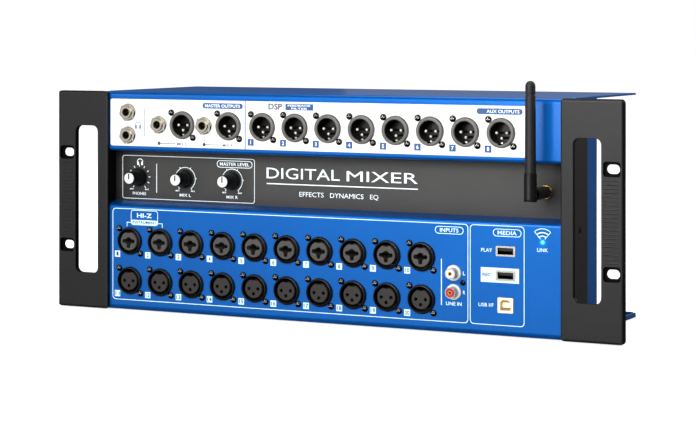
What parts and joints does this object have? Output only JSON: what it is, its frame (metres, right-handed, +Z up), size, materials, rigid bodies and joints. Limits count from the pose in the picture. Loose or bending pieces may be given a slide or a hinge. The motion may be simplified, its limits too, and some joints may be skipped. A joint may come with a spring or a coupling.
{
  "type": "rack-mount digital stage mixer",
  "caption": "Rack-mount digital stage mixer: blue steel case, black ears with hand slots, rows of XLR, combo and jack sockets, a recessed strip with level knobs and a folding antenna.",
  "frame": {"origin": "centre of the four rack bolts, on the rear face of the rack ears; the case's front face stands 2.2 mm ahead of it", "axes": "+X right seen from the front, +Y back into the rack, +Z up; the front faces -Y"},
  "size_m": [0.4826, 0.1817, 0.1909],
  "materials": {
    "blue_paint": "semi-gloss, fine orange peel",
    "black_powder_coat": "fine texture powder coat",
    "black_screw": "black oxide, satin",
    "white_label": "smooth printed face",
    "grey_die_cast": "satin die-cast",
    "black_plastic": "satin moulded",
    "dark_grey_plastic": "glass-filled, matt",
    "silver_contact": "plated",
    "nickel": "plated",
    "gold_plate": "plated",
    "white_plastic": "satin moulded",
    "blue_light": "clear, lit from behind",
    "zinc_steel": "plain",
    "black_rubber": "satin",
    "circuit_board": "solder mask",
    "aluminium_fins": "extruded"
  },
  "bodies": {
    "case": {"output_panel": "blue_paint", "input_panel": "blue_paint", "control_panel": "black_powder_coat", "channel_cheeks": "black_powder_coat", "top_cover": "blue_paint", "bottom_cover": "blue_paint", "rear_panel": "blue_paint", "side_wall_left": "blue_paint", "side_wall_right": "blue_paint", "rack_ear_left": "black_powder_coat", "rack_ear_right": "black_powder_coat", "ear_screws": "black_screw", "cover_screws": "black_screw", "output_label_plate": "white_label", "output_xlr_shells": "grey_die_cast", "output_xlr_inserts": "black_plastic", "output_xlr_pins": "silver_contact", "output_screws": "black_screw", "jack_bodies": "black_plastic", "jack_nuts": "nickel", "combo_shells": "black_plastic", "combo_inserts": "dark_grey_plastic", "input_xlr_shells": "black_plastic", "input_xlr_inserts": "dark_grey_plastic", "input_screws": "black_screw", "rca_shells": "nickel", "rca_collars": "white_plastic", "usb_a_shells": "nickel", "usb_b_shell": "white_plastic", "usb_tongues": "white_plastic", "status_light": "blue_light", "pot_bodies": "zinc_steel", "pot_nuts": "nickel", "antenna_socket": "gold_plate", "antenna_cable": "black_rubber", "wifi_module": "circuit_board", "input_board": "circuit_board", "output_board": "circuit_board", "control_board": "circuit_board", "main_board": "circuit_board", "standoffs": "gold_plate", "heat_sink": "aluminium_fins", "power_supply": "zinc_steel", "power_inlet": "black_plastic", "switch_frame": "black_plastic", "side_sockets": "nickel"},
    "phones_knob_body": {"phones_shaft": "zinc_steel", "phones_knob": "black_plastic", "phones_cap": "white_plastic"},
    "mix_left_knob_body": {"mix_left_shaft": "zinc_steel", "mix_left_knob": "black_plastic", "mix_left_cap": "white_plastic"},
    "mix_right_knob_body": {"mix_right_shaft": "zinc_steel", "mix_right_knob": "black_plastic", "mix_right_cap": "white_plastic"},
    "antenna_arm": {"antenna_base": "black_plastic", "antenna_hinge_pin": "nickel"},
    "antenna_whip": {"antenna_sleeve": "black_plastic", "antenna_mast": "black_rubber"},
    "rocker": {"power_rocker": "black_plastic"}
  },
  "joints": [
    {"name": "phones_level", "type": "hinge", "parent": "case", "child": "phones_knob_body", "pos_m": [-0.1742, 0.0028, 0.0182], "axis": [0, 1, 0], "range_deg": [-150, 150]},
    {"name": "mix_left_level", "type": "hinge", "parent": "case", "child": "mix_left_knob_body", "pos_m": [-0.1312, 0.0028, 0.0182], "axis": [0, 1, 0], "range_deg": [-150, 150]},
    {"name": "mix_right_level", "type": "hinge", "parent": "case", "child": "mix_right_knob_body", "pos_m": [-0.0882, 0.0028, 0.0182], "axis": [0, 1, 0], "range_deg": [-150, 150]},
    {"name": "antenna_swivel", "type": "hinge", "parent": "case", "child": "antenna_arm", "pos_m": [0.1762, 0.0058, 0.0186], "axis": [0, 1, 0], "range_deg": [-170, 170]},
    {"name": "antenna_fold", "type": "hinge", "parent": "antenna_arm", "child": "antenna_whip", "pos_m": [0.1762, -0.0212, 0.0186], "axis": [1, 0, 0], "range_deg": [0, 90]},
    {"name": "power_rocker_tilt", "type": "hinge", "parent": "case", "child": "rocker", "pos_m": [0.162, 0.1158, -0.024], "axis": [0, 0, 1], "range_deg": [0, 22]}
  ]
}
